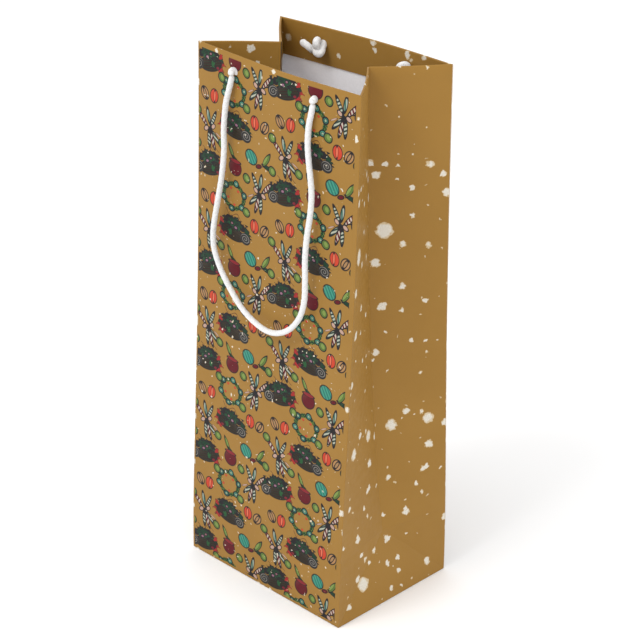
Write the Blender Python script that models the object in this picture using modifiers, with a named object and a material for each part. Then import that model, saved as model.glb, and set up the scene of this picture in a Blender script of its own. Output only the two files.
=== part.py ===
# A gusseted paper gift bag for one wine bottle, standing open on its folded bottom.
# The bag is a tube of four walls.  Each side wall (gusset) is creased down its middle and
# pushed in, so the walls hinge at six upright creases and the tube closes flat.  The walls
# here are flat sheets that stop just short of each crease, where the paper itself bends.
# Metres, +Z up.  The front wall faces -Y, and the origin is under the middle of the bottom.

import math

import bpy
from mathutils import Matrix, Vector
from mathutils.geometry import interpolate_bezier

# Driving dimensions of the made-up bag
WIDTH = 0.133
DEPTH = 0.0955
HEIGHT = 0.350
FACE_Y = 0.040            # how far the upright front and back stand from the middle, pushed in
PAPER = 0.0004            # laminated paper
CARD = 0.0006             # stiffening cards
GAP = 0.0003              # between sheets that lie on each other
CREASE_CLEARANCE = 0.0010  # each sheet ends this far from the crease it bends at

# Sizes that follow
HALF_WIDTH = WIDTH / 2
HALF_DEPTH = DEPTH / 2    # also the width of half a gusset and the height of the lower crease
CREASE_IN = math.sqrt(HALF_DEPTH ** 2 - FACE_Y ** 2)
CREASE_X = HALF_WIDTH - CREASE_IN
LEAN = HALF_DEPTH - FACE_Y
LOWER_CREASE_Z = math.sqrt(HALF_DEPTH ** 2 - LEAN ** 2)
APEX_Z = math.sqrt(HALF_DEPTH ** 2 - CREASE_IN ** 2)

# Bottom: four glued flaps and a loose board
FLAP = 0.0003
FLAP_STEP = FLAP + GAP
BOARD_INSET = 0.0015
HINGE_Z = 0.0027          # the walls fold about the level of the board's top
INNER_FLAP_SHARE = 0.70
SIDE_FLAP_REACH = 0.040
WALL_BOTTOM_Z = 0.0005

# Folded-over hem along the mouth, with a card in it on the front and the back
HEM_HEIGHT = 0.027
HEM_END = 0.014           # the hem and card of a face stop this far short of the side creases
CARD_HEIGHT = 0.024

# Rope handles
ROPE_RADIUS = 0.0018
HOLE_RADIUS = 0.0023
HOLE_SPACING = 0.0675
HOLE_MIDDLE_X = 0.00565   # the pair of holes sits a little right of the face's middle
HOLE_Z = HEIGHT - 0.010
HINGE_OUT = 0.0032        # the rope bends down this far outside the face
KNOT_RADIUS = 0.0044
KNOT_SIDES = 16
ROPE_STEP = 0.0085        # spacing of the points along the rope

# The front loop's way from its left hole to its right one: across (x) and up (z), with how
# far it stands off the upright face.  The rope hangs with the kinks of a rope stored coiled.
FRONT_LOOP = [
    (-0.0281, 0.3375, 0.0032), (-0.0284, 0.3345, 0.0034), (-0.0302, 0.3275, 0.0038),
    (-0.0322, 0.3190, 0.0043), (-0.0333, 0.3045, 0.0050), (-0.0328, 0.2890, 0.0056),
    (-0.0346, 0.2720, 0.0063), (-0.0374, 0.2580, 0.0068), (-0.0405, 0.2430, 0.0073),
    (-0.0416, 0.2330, 0.0076), (-0.0402, 0.2235, 0.0079), (-0.0345, 0.2130, 0.0083),
    (-0.0261, 0.2030, 0.0086), (-0.0158, 0.1936, 0.0089), (-0.0044, 0.1880, 0.0091),
    (0.0069, 0.1858, 0.0092), (0.0173, 0.1880, 0.0091), (0.0270, 0.1943, 0.0089),
    (0.0345, 0.2041, 0.0086), (0.0380, 0.2155, 0.0082), (0.0384, 0.2284, 0.0078),
    (0.0379, 0.2427, 0.0073), (0.0389, 0.2567, 0.0068), (0.0410, 0.2708, 0.0063),
    (0.0416, 0.2830, 0.0058), (0.0403, 0.2930, 0.0054), (0.0384, 0.3025, 0.0050),
    (0.0370, 0.3125, 0.0046), (0.0371, 0.3232, 0.0041), (0.0388, 0.3330, 0.0035),
    (0.0394, 0.3375, 0.0032),
]
BACK_LOOP = [
    (-0.0281, 0.3375, 0.0032), (-0.0284, 0.3345, 0.0034), (-0.0306, 0.3240, 0.0038),
    (-0.0330, 0.3090, 0.0044), (-0.0344, 0.2920, 0.0050), (-0.0347, 0.2740, 0.0056),
    (-0.0338, 0.2560, 0.0062), (-0.0316, 0.2390, 0.0068), (-0.0272, 0.2230, 0.0074),
    (-0.0202, 0.2090, 0.0080), (-0.0106, 0.1990, 0.0084), (0.0008, 0.1935, 0.0086),
    (0.0104, 0.1935, 0.0086), (0.0218, 0.1990, 0.0084), (0.0314, 0.2090, 0.0080),
    (0.0384, 0.2230, 0.0074), (0.0428, 0.2390, 0.0068), (0.0450, 0.2560, 0.0062),
    (0.0459, 0.2740, 0.0056), (0.0456, 0.2920, 0.0050), (0.0442, 0.3090, 0.0044),
    (0.0418, 0.3240, 0.0038), (0.0397, 0.3345, 0.0034), (0.0394, 0.3375, 0.0032),
]

HANDS = ((-1, "left"), (1, "right"))

OCHRE = (0.36, 0.20, 0.055)
WHITE_PAPER = (0.80, 0.79, 0.82)
GREY_CARD = (0.55, 0.52, 0.47)
ROPE_WHITE = (0.86, 0.86, 0.88)


def clear_scene():
    for thing in list(bpy.data.objects):
        bpy.data.objects.remove(thing, do_unlink=True)


def make_collection(name):
    collection = bpy.data.collections.new(name)
    bpy.context.scene.collection.children.link(collection)
    return collection


def make_material(name, colour, roughness):
    material = bpy.data.materials.new(name)
    material.use_nodes = True
    shader = material.node_tree.nodes["Principled BSDF"]
    shader.inputs["Base Color"].default_value = (*colour, 1.0)
    shader.inputs["Roughness"].default_value = roughness
    shader.inputs["Metallic"].default_value = 0.0
    return material


def pivot(name, place):
    """An empty on a joint's axis, which carries the pieces of one moving body."""
    empty = bpy.data.objects.new(name, None)
    empty.location = place
    empty.empty_display_size = 0.01
    parts.objects.link(empty)
    return empty


def add_piece(name, data, material, matrix, parent):
    piece = bpy.data.objects.new(name, data)
    piece.data.materials.append(material)
    parts.objects.link(piece)
    if parent is not None:
        piece.parent = parent
        piece.matrix_parent_inverse = Matrix.Translation(parent.location).inverted()
    piece.matrix_basis = matrix
    return piece


def inset_outline(outline, margins):
    """Move each side of a convex, anticlockwise outline inwards by its own margin."""
    count = len(outline)
    lines = []
    for index in range(count):
        start = outline[index]
        along = (outline[(index + 1) % count] - start).normalized()
        inward = Vector((-along.y, along.x))
        lines.append((start + inward * margins[index], along))
    corners = []
    for index in range(count):
        (a, u), (b, v) = lines[index - 1], lines[index]
        travel = (b - a).cross(v) / u.cross(v)
        corners.append(a + u * travel)
    return corners


def add_loop(curve, points):
    spline = curve.splines.new("POLY")
    spline.points.add(len(points) - 1)
    for point, place in zip(spline.points, points):
        point.co = (place[0], place[1], 0.0, 1.0)
    spline.use_cyclic_u = True


def circle(centre, radius, sides):
    turn = 2 * math.pi / sides
    return [
        (centre[0] + radius * math.cos(turn * k), centre[1] + radius * math.sin(turn * k))
        for k in range(sides)
    ]


def sheet(name, corners, outward, thickness, margins, material, parent, holes=()):
    """A flat sheet whose inner surface has these corners, and whose thickness goes outward."""
    corners = [Vector(c) for c in corners]
    outward = Vector(outward)
    normal = (corners[1] - corners[0]).cross(corners[2] - corners[0]).normalized()
    if normal.dot(outward) < 0:
        corners = [corners[0]] + corners[:0:-1]
        margins = margins[::-1]
        normal = -normal
    across = (corners[1] - corners[0]).normalized()
    up = normal.cross(across)
    origin = corners[0]
    flat = [Vector(((c - origin).dot(across), (c - origin).dot(up))) for c in corners]
    curve = bpy.data.curves.new(name, "CURVE")
    curve.dimensions = "2D"
    curve.fill_mode = "BOTH"
    curve.extrude = thickness / 2
    add_loop(curve, inset_outline(flat, margins))
    for centre in holes:
        offset = Vector(centre) - origin
        add_loop(curve, circle((offset.dot(across), offset.dot(up)), HOLE_RADIUS, KNOT_SIDES))
    turn = Matrix((across, up, normal)).transposed().to_4x4()
    matrix = Matrix.Translation(origin + normal * thickness / 2) @ turn
    return add_piece(name, curve, material, matrix, parent)


def upright_sheet(name, side, offset, half_width, low, high, thickness, parent, material, holes=()):
    """A sheet parallel to the front (side -1) or back (side 1) face."""
    y = side * (FACE_Y + offset)
    corners = [(-half_width, y, low), (half_width, y, low), (half_width, y, high), (-half_width, y, high)]
    return sheet(name, corners, (0, side, 0), thickness, [0] * 4, material, parent, holes)


def face(side, word, body):
    """The front or back wall with its card, its folded-over hem and the knots of its rope."""
    hole_x = {hand: HOLE_MIDDLE_X + sign * HOLE_SPACING / 2 for sign, hand in HANDS}
    holes = [(x, side * FACE_Y, HOLE_Z) for x in hole_x.values()]
    upright_sheet(
        word + "_panel", side, 0.0, HALF_WIDTH - CREASE_CLEARANCE,
        LOWER_CREASE_Z + CREASE_CLEARANCE, HEIGHT, PAPER, body, paper, holes,
    )
    card_offset = -GAP - CARD
    hem_offset = card_offset - GAP - PAPER
    hem_half = HALF_WIDTH - HEM_END
    top = HEIGHT - GAP
    upright_sheet(
        word + "_card", side, card_offset, hem_half - GAP, top - CARD_HEIGHT, top, CARD, body, card, holes,
    )
    upright_sheet(
        word + "_hem", side, hem_offset, hem_half, top - HEM_HEIGHT, top, PAPER, body, paper, holes,
    )
    for hand, x in hole_x.items():
        knot(word + "_knot_" + hand, side, x, -hem_offset, body)


def lower_wall(word, side, body):
    """The strip of the front or back wall between the bottom and the lower crease."""
    slope = LEAN / LOWER_CREASE_Z
    low_y = HALF_DEPTH - WALL_BOTTOM_Z * slope
    corners = [
        (-HALF_WIDTH, side * low_y, WALL_BOTTOM_Z),
        (HALF_WIDTH, side * low_y, WALL_BOTTOM_Z),
        (HALF_WIDTH, side * FACE_Y, LOWER_CREASE_Z),
        (-HALF_WIDTH, side * FACE_Y, LOWER_CREASE_Z),
    ]
    margins = [0.0, CREASE_CLEARANCE, CREASE_CLEARANCE / 2, CREASE_CLEARANCE]
    sheet(word + "_lower_panel", corners, (0, side, 0), PAPER, margins, paper, body)


def knot(name, side, x, inner_depth, body):
    """The knotted end of a rope, with the short stub that goes out through the wall."""
    stub_end = HINGE_OUT + ROPE_RADIUS * 0.4
    knot_start = inner_depth + PAPER + GAP
    outline = [(0.0, stub_end), (ROPE_RADIUS * 0.7, stub_end), (ROPE_RADIUS, stub_end - 0.0005)]
    outline.append((ROPE_RADIUS, -knot_start))
    steps = 8
    for k in range(1, steps):
        angle = math.pi * k / steps
        reach = KNOT_RADIUS * (1 - math.cos(angle))
        outline.append((KNOT_RADIUS * math.sin(angle), -knot_start - reach))
    outline.append((0.0, -knot_start - 2 * KNOT_RADIUS))
    mesh = bpy.data.meshes.new(name)
    verts = [(radius, 0.0, along) for radius, along in outline]
    mesh.from_pydata(verts, [(k, k + 1) for k in range(len(verts) - 1)], [])
    # the profile's own +Z becomes the outward direction of the wall
    matrix = Matrix.Translation((x, side * FACE_Y, HOLE_Z)) @ Matrix.Rotation(-side * math.pi / 2, 4, "X")
    piece = add_piece(name, mesh, rope, matrix, body)
    screw = piece.modifiers.new("turn", "SCREW")
    screw.axis = "Z"
    screw.steps = KNOT_SIDES
    screw.render_steps = KNOT_SIDES
    screw.use_merge_vertices = True
    screw.merge_threshold = 0.00001
    screw.use_normal_calculate = True


def gusset(sign, hand, back_half, front_half, strip, bottom_edge):
    """One side wall: two upright halves that meet at the pushed-in crease, the folded
    corners below them, and the triangle that rises from the bottom's side edge."""
    swing = math.asin(PAPER / HALF_DEPTH)
    for side, word, body in ((1, "back", back_half), (-1, "front", front_half)):
        # the inner surface passes the corner crease and the outer surface the middle one
        corner = Vector((sign * HALF_WIDTH, side * FACE_Y))
        crease = Vector((sign * CREASE_X, 0.0))
        along = (crease - corner).normalized()
        along.rotate(Matrix.Rotation(-sign * side * swing, 2))
        length = HALF_DEPTH * math.cos(swing)
        outward = Vector((sign * FACE_Y, -side * CREASE_IN, 0))
        near = corner + along * CREASE_CLEARANCE
        far = corner + along * (length - CREASE_CLEARANCE)
        low_near = LOWER_CREASE_Z + CREASE_CLEARANCE
        low_far = APEX_Z + CREASE_CLEARANCE * 1.5
        outline = [(*near, low_near), (*far, low_far), (*far, HEIGHT), (*near, HEIGHT)]
        sheet(hand + "_gusset_" + word + "_half", outline, outward, PAPER, [0] * 4, paper, body)

        foot = (sign * HALF_WIDTH, side * HALF_DEPTH, WALL_BOTTOM_Z)
        shoulder = (*corner, LOWER_CREASE_Z)
        apex = (sign * CREASE_X, 0.0, APEX_Z)
        owner = body if side > 0 else strip
        sheet(
            hand + "_" + word + "_corner", [foot, shoulder, apex], outward, PAPER,
            [CREASE_CLEARANCE] * 3, paper, owner,
        )
    side_x = sign * (HALF_WIDTH - GAP)
    ends = [(side_x, -HALF_DEPTH, HINGE_Z), (side_x, HALF_DEPTH, HINGE_Z)]
    apex = (sign * CREASE_X, 0.0, APEX_Z)
    sheet(
        hand + "_base_triangle", [*ends, apex], (sign, 0, 0.2), PAPER,
        [GAP, CREASE_CLEARANCE * 1.5, CREASE_CLEARANCE * 1.5], paper, bottom_edge,
    )


def bottom():
    """Side flaps inside, then the two long flaps glued over them, and a loose board on top."""
    x = HALF_WIDTH - GAP
    y = HALF_DEPTH - GAP
    inner_x = x - FLAP_STEP
    reach = y * 2 * INNER_FLAP_SHARE
    outer = [(-x, -y), (x, -y), (x, y), (-x, y)]
    inner = [(-inner_x, y - reach), (inner_x, y - reach), (x, y), (-x, y)]
    layers = [("bottom_flap_outer", outer, 0), ("bottom_flap_inner", inner, 1)]
    for sign, hand in HANDS:
        tip = sign * (x - SIDE_FLAP_REACH)
        flap = [(sign * x, -y), (sign * x, y), (tip, y - SIDE_FLAP_REACH), (tip, SIDE_FLAP_REACH - y)]
        layers.append(("bottom_side_flap_" + hand, flap, 2))
    for name, outline, level in layers:
        z = level * FLAP_STEP
        corners = [(px, py, z) for px, py in outline]
        sheet(name, corners, (0, 0, 1), FLAP, [0] * 4, paper, None)
    bx = HALF_WIDTH - BOARD_INSET
    by = HALF_DEPTH - BOARD_INSET
    z = 3 * FLAP_STEP
    corners = [(-bx, -by, z), (bx, -by, z), (bx, by, z), (-bx, by, z)]
    sheet("base_board", corners, (0, 0, 1), CARD, [0] * 4, card, None)


def smooth_route(points):
    """Points at even steps along a smooth curve through the route's own points."""
    places = [Vector(p) for p in points]
    dense = []
    for k in range(len(places) - 1):
        before = places[max(k - 1, 0)]
        after = places[min(k + 2, len(places) - 1)]
        here, there = places[k], places[k + 1]
        lead = here + (there - before) / 6
        trail = there - (after - here) / 6
        dense += interpolate_bezier(here, lead, trail, there, 13)[:-1]
    dense.append(places[-1])
    lengths = [0.0]
    for a, b in zip(dense, dense[1:]):
        lengths.append(lengths[-1] + (b - a).length)
    count = max(2, round(lengths[-1] / ROPE_STEP))
    route = []
    index = 0
    for k in range(count + 1):
        target = lengths[-1] * k / count
        while index < len(dense) - 2 and lengths[index + 1] < target:
            index += 1
        span = lengths[index + 1] - lengths[index]
        route.append(dense[index].lerp(dense[index + 1], (target - lengths[index]) / span))
    return route


def handle(name, side, loop, body):
    """The free loop of a rope handle, which swings about its two holes."""
    outside = FACE_Y + PAPER
    route = smooth_route([(x, side * (outside + off), z) for x, z, off in loop])
    curve = bpy.data.curves.new(name, "CURVE")
    curve.dimensions = "3D"
    curve.bevel_depth = ROPE_RADIUS
    curve.bevel_resolution = 2
    curve.use_fill_caps = True
    spline = curve.splines.new("POLY")
    spline.points.add(len(route) - 1)
    for point, place in zip(spline.points, route):
        point.co = (*place, 1.0)
    add_piece(name, curve, rope, Matrix.Identity(4), body)


clear_scene()
parts = make_collection("wine_gift_bag")
paper = make_material("laminated_paper", OCHRE, 0.45)
card = make_material("grey_card", GREY_CARD, 0.8)
rope = make_material("cotton_rope", ROPE_WHITE, 0.85)

back_wall = pivot("back_wall_hinge", (0, HALF_DEPTH, HINGE_Z))
front_wall = pivot("front_wall_hinge", (HALF_WIDTH, -FACE_Y, 0))
front_strip = pivot("front_strip_hinge", (0, -HALF_DEPTH, HINGE_Z))
front_rope = pivot("front_handle_hinge", (0, -FACE_Y - PAPER - HINGE_OUT, HOLE_Z))
back_rope = pivot("back_handle_hinge", (0, FACE_Y + PAPER + HINGE_OUT, HOLE_Z))

bottom()
face(1, "back", back_wall)
lower_wall("back", 1, back_wall)
for sign, hand in HANDS:
    gusset(
        sign, hand,
        pivot(hand + "_back_crease", (sign * HALF_WIDTH, FACE_Y, 0)),
        pivot(hand + "_middle_crease", (sign * CREASE_X, 0, 0)),
        pivot(hand + "_front_corner_crease", (sign * HALF_WIDTH, -HALF_DEPTH, HINGE_Z)),
        pivot(hand + "_bottom_crease", (sign * HALF_WIDTH, 0, HINGE_Z)),
    )
face(-1, "front", front_wall)
lower_wall("front", -1, front_strip)
handle("front_handle_cord", -1, FRONT_LOOP, front_rope)
handle("back_handle_cord", 1, BACK_LOOP, back_rope)
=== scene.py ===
import math

import bmesh
import bpy
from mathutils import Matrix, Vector, noise


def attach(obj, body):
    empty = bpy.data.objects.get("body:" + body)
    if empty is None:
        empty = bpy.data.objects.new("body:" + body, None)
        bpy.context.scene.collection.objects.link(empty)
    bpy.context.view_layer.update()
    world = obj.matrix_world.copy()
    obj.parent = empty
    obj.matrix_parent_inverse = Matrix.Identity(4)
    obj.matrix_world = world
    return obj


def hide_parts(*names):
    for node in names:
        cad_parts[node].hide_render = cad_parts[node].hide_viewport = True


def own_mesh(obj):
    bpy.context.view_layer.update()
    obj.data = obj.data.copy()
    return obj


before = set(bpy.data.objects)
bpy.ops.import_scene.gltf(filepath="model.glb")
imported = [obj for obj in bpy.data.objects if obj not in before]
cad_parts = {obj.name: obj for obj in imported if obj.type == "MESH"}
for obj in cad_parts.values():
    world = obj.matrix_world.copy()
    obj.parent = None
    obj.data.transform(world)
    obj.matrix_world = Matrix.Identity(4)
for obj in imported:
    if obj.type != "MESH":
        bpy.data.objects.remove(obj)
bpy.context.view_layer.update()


# ---- The stand: floor, camera and studio light -------------------------------------------
# A seamless pale floor and three soft boxes: a faint one to the left, a stronger one to the
# right and the strongest high in front.  Even white light comes from all round.

FLOOR_HALF = 4.0
LOOK_AT = Vector((0.00203, 0.00204, 0.1723))
CAMERA_TURN = math.radians(45.18)
CAMERA_RISE = math.radians(26.11)
CAMERA_AWAY = 1.324
LENS = 118.97


def add(tree, kind, values=(), **settings):
    """A shader node with its settings made, and its inputs filled or linked in order."""
    made = tree.nodes.new(kind)
    for name, value in settings.items():
        setattr(made, name, value)
    for socket, value in zip(made.inputs, values):
        if isinstance(value, bpy.types.NodeSocket):
            tree.links.new(value, socket)
        elif value is not None:
            socket.default_value = value
    return made


def sums(tree, operation, *values):
    return add(tree, "ShaderNodeMath", values, operation=operation).outputs[0]


def vectors(tree, operation, *values):
    return add(tree, "ShaderNodeVectorMath", values, operation=operation).outputs[0]


def length_of(tree, value):
    return add(tree, "ShaderNodeVectorMath", (value,), operation="LENGTH").outputs["Value"]


def mixed(tree, share, under, over):
    """Colour under, covered by colour over in the given share."""
    made = tree.nodes.new("ShaderNodeMix")
    made.data_type = "RGBA"
    for index, value in ((0, share), (6, under), (7, over)):
        if isinstance(value, bpy.types.NodeSocket):
            tree.links.new(value, made.inputs[index])
        else:
            made.inputs[index].default_value = value
    return made.outputs[2]


def ramped(tree, value, low, high, out_low=0.0, out_high=1.0):
    """The value eased from out_low at low to out_high at high."""
    made = add(tree, "ShaderNodeMapRange", (value, low, high, out_low, out_high))
    made.interpolation_type = "SMOOTHSTEP"
    return made.outputs[0]


def finish_named(name, roughness):
    """A new material with its shader set, and the tree and shader to work on."""
    material = bpy.data.materials.new(name)
    material.use_nodes = True
    shader = material.node_tree.nodes["Principled BSDF"]
    shader.inputs["Roughness"].default_value = roughness
    return material, material.node_tree, shader


def object_place(tree):
    return tree.nodes.new("ShaderNodeTexCoord").outputs["Object"]


def roughened(tree, shader, height, strength, distance):
    bump = add(tree, "ShaderNodeBump", (strength, distance), name="surface")
    tree.links.new(height, bump.inputs["Height"])
    tree.links.new(bump.outputs[0], shader.inputs["Normal"])


def grain(tree, place, scale, detail=2.0):
    made = add(tree, "ShaderNodeTexNoise", (place,))
    made.inputs["Scale"].default_value = scale
    made.inputs["Detail"].default_value = detail
    return made.outputs["Fac"]


def object_from(work, name, *materials):
    """An object from a worked mesh, with its own materials."""
    mesh = bpy.data.meshes.new(name)
    work.to_mesh(mesh)
    work.free()
    piece = bpy.data.objects.new(name, mesh)
    bpy.context.scene.collection.objects.link(piece)
    for material in materials:
        mesh.materials.append(material)
    return piece


floor_finish, floor_tree, floor_shader = finish_named("studio_floor", 0.9)
floor_tone = grain(floor_tree, object_place(floor_tree), 3.0)
floor_colour = mixed(floor_tree, floor_tone, (0.94, 0.94, 0.94, 1), (0.96, 0.96, 0.96, 1))
floor_tree.links.new(floor_colour, floor_shader.inputs["Base Color"])
floor_work = bmesh.new()
bmesh.ops.create_grid(floor_work, x_segments=2, y_segments=2, size=FLOOR_HALF)
studio_floor = object_from(floor_work, "studio_floor", floor_finish)

world = bpy.data.worlds.new("studio")
bpy.context.scene.world = world
world.use_nodes = True
world.node_tree.nodes["Background"].inputs["Color"].default_value = (1.0, 1.0, 1.0, 1.0)
world.node_tree.nodes["Background"].inputs["Strength"].default_value = 1.0

for lamp_name, lamp_place, lamp_size, lamp_power in (
    ("left_soft_box", (-0.9, -1.5, 1.6), 1.2, 3.0),
    ("right_soft_box", (1.9, 0.3, 1.3), 1.2, 7.5),
    ("top_soft_box", (-0.1, -1.3, 1.9), 0.9, 16.0),
):
    lamp = bpy.data.lights.new(lamp_name, "AREA")
    lamp.shape = "DISK"
    lamp.size = lamp_size
    lamp.energy = lamp_power
    soft_box = bpy.data.objects.new(lamp_name, lamp)
    soft_box.location = lamp_place
    toward = LOOK_AT - Vector(lamp_place)
    soft_box.rotation_euler = toward.to_track_quat("-Z", "Y").to_euler()
    bpy.context.scene.collection.objects.link(soft_box)

looking = Vector((
    -math.sin(CAMERA_TURN) * math.cos(CAMERA_RISE),
    math.cos(CAMERA_TURN) * math.cos(CAMERA_RISE),
    -math.sin(CAMERA_RISE),
))
camera_data = bpy.data.cameras.new("camera")
camera_data.lens = LENS
camera_data.sensor_width = 36.0
camera = bpy.data.objects.new("camera", camera_data)
camera.location = LOOK_AT - looking * CAMERA_AWAY
camera.rotation_euler = looking.to_track_quat("-Z", "Y").to_euler()
bpy.context.scene.collection.objects.link(camera)
bpy.context.scene.camera = camera
bpy.context.scene.view_settings.view_transform = "Standard"


# ---- Rope handles ------------------------------------------------------------------------
# Soft white cotton rope, three strands laid round each other.  Each handle is one length
# whose ends go in through two punched holes and are knotted inside.  It hangs by its holes.

ROPE_RADIUS = 0.0018
HOLE_HALF_SPACING = 0.03375
HOLE_MIDDLE_X = 0.00565
HOLE_Z = 0.340
OUTSIDE = 0.0404
STRANDS = 3
STRAND_LAY = 0.0125       # along the rope for one full turn of a strand
ROPE_SIDES = 30
CURVE_PARTS = 16          # steps of the curve between two given points
WELD = 0.000002

FRONT_LOOP = [
    (-0.0281, 0.3375, 0.0032), (-0.0284, 0.3345, 0.0034), (-0.0302, 0.3275, 0.0038),
    (-0.0322, 0.3190, 0.0043), (-0.0333, 0.3045, 0.0050), (-0.0328, 0.2890, 0.0056),
    (-0.0346, 0.2720, 0.0063), (-0.0374, 0.2580, 0.0068), (-0.0405, 0.2430, 0.0073),
    (-0.0416, 0.2330, 0.0076), (-0.0402, 0.2235, 0.0079), (-0.0345, 0.2130, 0.0083),
    (-0.0261, 0.2030, 0.0086), (-0.0158, 0.1936, 0.0089), (-0.0044, 0.1880, 0.0091),
    (0.0069, 0.1858, 0.0092), (0.0173, 0.1880, 0.0091), (0.0270, 0.1943, 0.0089),
    (0.0345, 0.2041, 0.0086), (0.0380, 0.2155, 0.0082), (0.0384, 0.2284, 0.0078),
    (0.0379, 0.2427, 0.0073), (0.0389, 0.2567, 0.0068), (0.0410, 0.2708, 0.0063),
    (0.0416, 0.2830, 0.0058), (0.0403, 0.2930, 0.0054), (0.0384, 0.3025, 0.0050),
    (0.0370, 0.3125, 0.0046), (0.0371, 0.3232, 0.0041), (0.0388, 0.3330, 0.0035),
    (0.0394, 0.3375, 0.0032),
]
BACK_LOOP = [
    (-0.0281, 0.3375, 0.0032), (-0.0284, 0.3345, 0.0034), (-0.0306, 0.3240, 0.0038),
    (-0.0330, 0.3090, 0.0044), (-0.0344, 0.2920, 0.0050), (-0.0347, 0.2740, 0.0056),
    (-0.0338, 0.2560, 0.0062), (-0.0316, 0.2390, 0.0068), (-0.0272, 0.2230, 0.0074),
    (-0.0202, 0.2090, 0.0080), (-0.0106, 0.1990, 0.0084), (0.0008, 0.1935, 0.0086),
    (0.0104, 0.1935, 0.0086), (0.0218, 0.1990, 0.0084), (0.0314, 0.2090, 0.0080),
    (0.0384, 0.2230, 0.0074), (0.0428, 0.2390, 0.0068), (0.0450, 0.2560, 0.0062),
    (0.0459, 0.2740, 0.0056), (0.0456, 0.2920, 0.0050), (0.0442, 0.3090, 0.0044),
    (0.0418, 0.3240, 0.0038), (0.0397, 0.3345, 0.0034), (0.0394, 0.3375, 0.0032),
]


def smooth_line(points, step):
    """Points at even steps along a smooth curve through the given ones."""
    dense = []
    for k in range(len(points) - 1):
        before, after = points[max(k - 1, 0)], points[min(k + 2, len(points) - 1)]
        here, there = points[k], points[k + 1]
        for part in range(CURVE_PARTS):
            t = part / CURVE_PARTS
            lead = here + (there - before) / 6
            trail = there - (after - here) / 6
            dense.append(
                here * (1 - t) ** 3 + lead * 3 * t * (1 - t) ** 2
                + trail * 3 * t * t * (1 - t) + there * t ** 3
            )
    dense.append(points[-1])
    total = sum((b - a).length for a, b in zip(dense, dense[1:]))
    count = max(4, round(total / step))
    line = [dense[0]]
    travelled = 0.0
    for a, b in zip(dense, dense[1:]):
        span = (b - a).length
        while len(line) < count and travelled + span >= total * len(line) / count:
            line.append(a.lerp(b, (total * len(line) / count - travelled) / span))
        travelled += span
    line.append(dense[-1])
    return line, total


def laid_rope(name, line, step, fullness=1.0):
    """A rope of laid strands along a line of even steps, with round closed ends."""
    work = bmesh.new()
    bmesh.ops.create_grid(work, x_segments=len(line) - 1, y_segments=ROPE_SIDES, size=0.5)
    work.verts.ensure_lookup_table()
    along_uv = work.loops.layers.uv.new("rope")
    grid_place = {v: v.co.copy() for v in work.verts}
    across = Vector((0.0, 0.0, 1.0))
    frames = []
    for k, place in enumerate(line):
        forward = (line[min(k + 1, len(line) - 1)] - line[max(k - 1, 0)]).normalized()
        if k == 0 and abs(forward.dot(across)) > 0.9:
            across = Vector((0.0, 1.0, 0.0))
        across = (across - forward * across.dot(forward)).normalized()
        frames.append((place, across.copy(), forward.cross(across)))
    for face in work.faces:
        for loop in face.loops:
            spot = grid_place[loop.vert]
            loop[along_uv].uv = ((spot.x + 0.5) * (len(line) - 1) * step, spot.y + 0.5)
    last = len(line) - 1
    for vert in work.verts:
        k = round((grid_place[vert].x + 0.5) * last)
        angle = (grid_place[vert].y + 0.5) * 2 * math.pi
        place, side, up = frames[k]
        turned = angle * STRANDS - 2 * math.pi * STRANDS * k * step / STRAND_LAY
        radius = ROPE_RADIUS * fullness * (0.90 + 0.10 * abs(math.cos(turned / 2)) ** 0.6)
        radius *= 1 + 0.03 * noise.noise(place * 260.0)
        ends = min(k, last - k) * step
        if ends < ROPE_RADIUS:
            radius *= 0.62 + 0.38 * math.sqrt(ends / ROPE_RADIUS)
        vert.co = place + (side * math.cos(angle) + up * math.sin(angle)) * radius
    bmesh.ops.remove_doubles(work, verts=work.verts, dist=WELD)
    bmesh.ops.holes_fill(work, edges=work.edges, sides=ROPE_SIDES + 2)
    bmesh.ops.recalc_face_normals(work, faces=work.faces)
    for face in work.faces:
        face.smooth = True
    return object_from(work, name, rope_finish)


rope_finish, rope_tree, rope_shader = finish_named("cotton_rope", 0.85)
rope_place = rope_tree.nodes.new("ShaderNodeUVMap")
rope_place.uv_map = "rope"
rope_fibres = vectors(rope_tree, "MULTIPLY", rope_place.outputs[0], (2600.0, 9.0, 1.0))
rope_slant = add(rope_tree, "ShaderNodeVectorRotate", (rope_fibres,), rotation_type="Z_AXIS")
rope_slant.inputs["Angle"].default_value = 0.6
rope_fibre = grain(rope_tree, rope_slant.outputs[0], 1.0, 3.0)
rope_dirt = grain(rope_tree, object_place(rope_tree), 90.0, 4.0)
rope_share = ramped(rope_tree, rope_fibre, 0.3, 0.6)
rope_white = mixed(rope_tree, rope_share, (0.60, 0.60, 0.60, 1), (0.76, 0.76, 0.76, 1))
dirt_share = ramped(rope_tree, rope_dirt, 0.5, 0.8, 0.0, 0.25)
rope_colour = mixed(rope_tree, dirt_share, rope_white, (0.66, 0.65, 0.63, 1))
rope_tree.links.new(rope_colour, rope_shader.inputs["Base Color"])
rope_shader.inputs["Sheen Weight"].default_value = 0.3
rope_shader.inputs["Sheen Roughness"].default_value = 0.6
roughened(rope_tree, rope_shader, rope_fibre, 0.5, 0.0003)

ROPE_STEP = 0.0006
ROPE_DRAWN_IN = 0.0014    # at the holes the rope lies this much closer than its hinge line
LEFT_DRAWN_IN = 0.0012    # and at the back's left hole closer still, as the wall is pressed in


def drawn_in(side, x, z):
    pressed = max(0.0, side * (HOLE_MIDDLE_X - x) / HOLE_HALF_SPACING)
    return (ROPE_DRAWN_IN + LEFT_DRAWN_IN * pressed * (side > 0)) * min(1.0, z / HOLE_Z) ** 6


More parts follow.
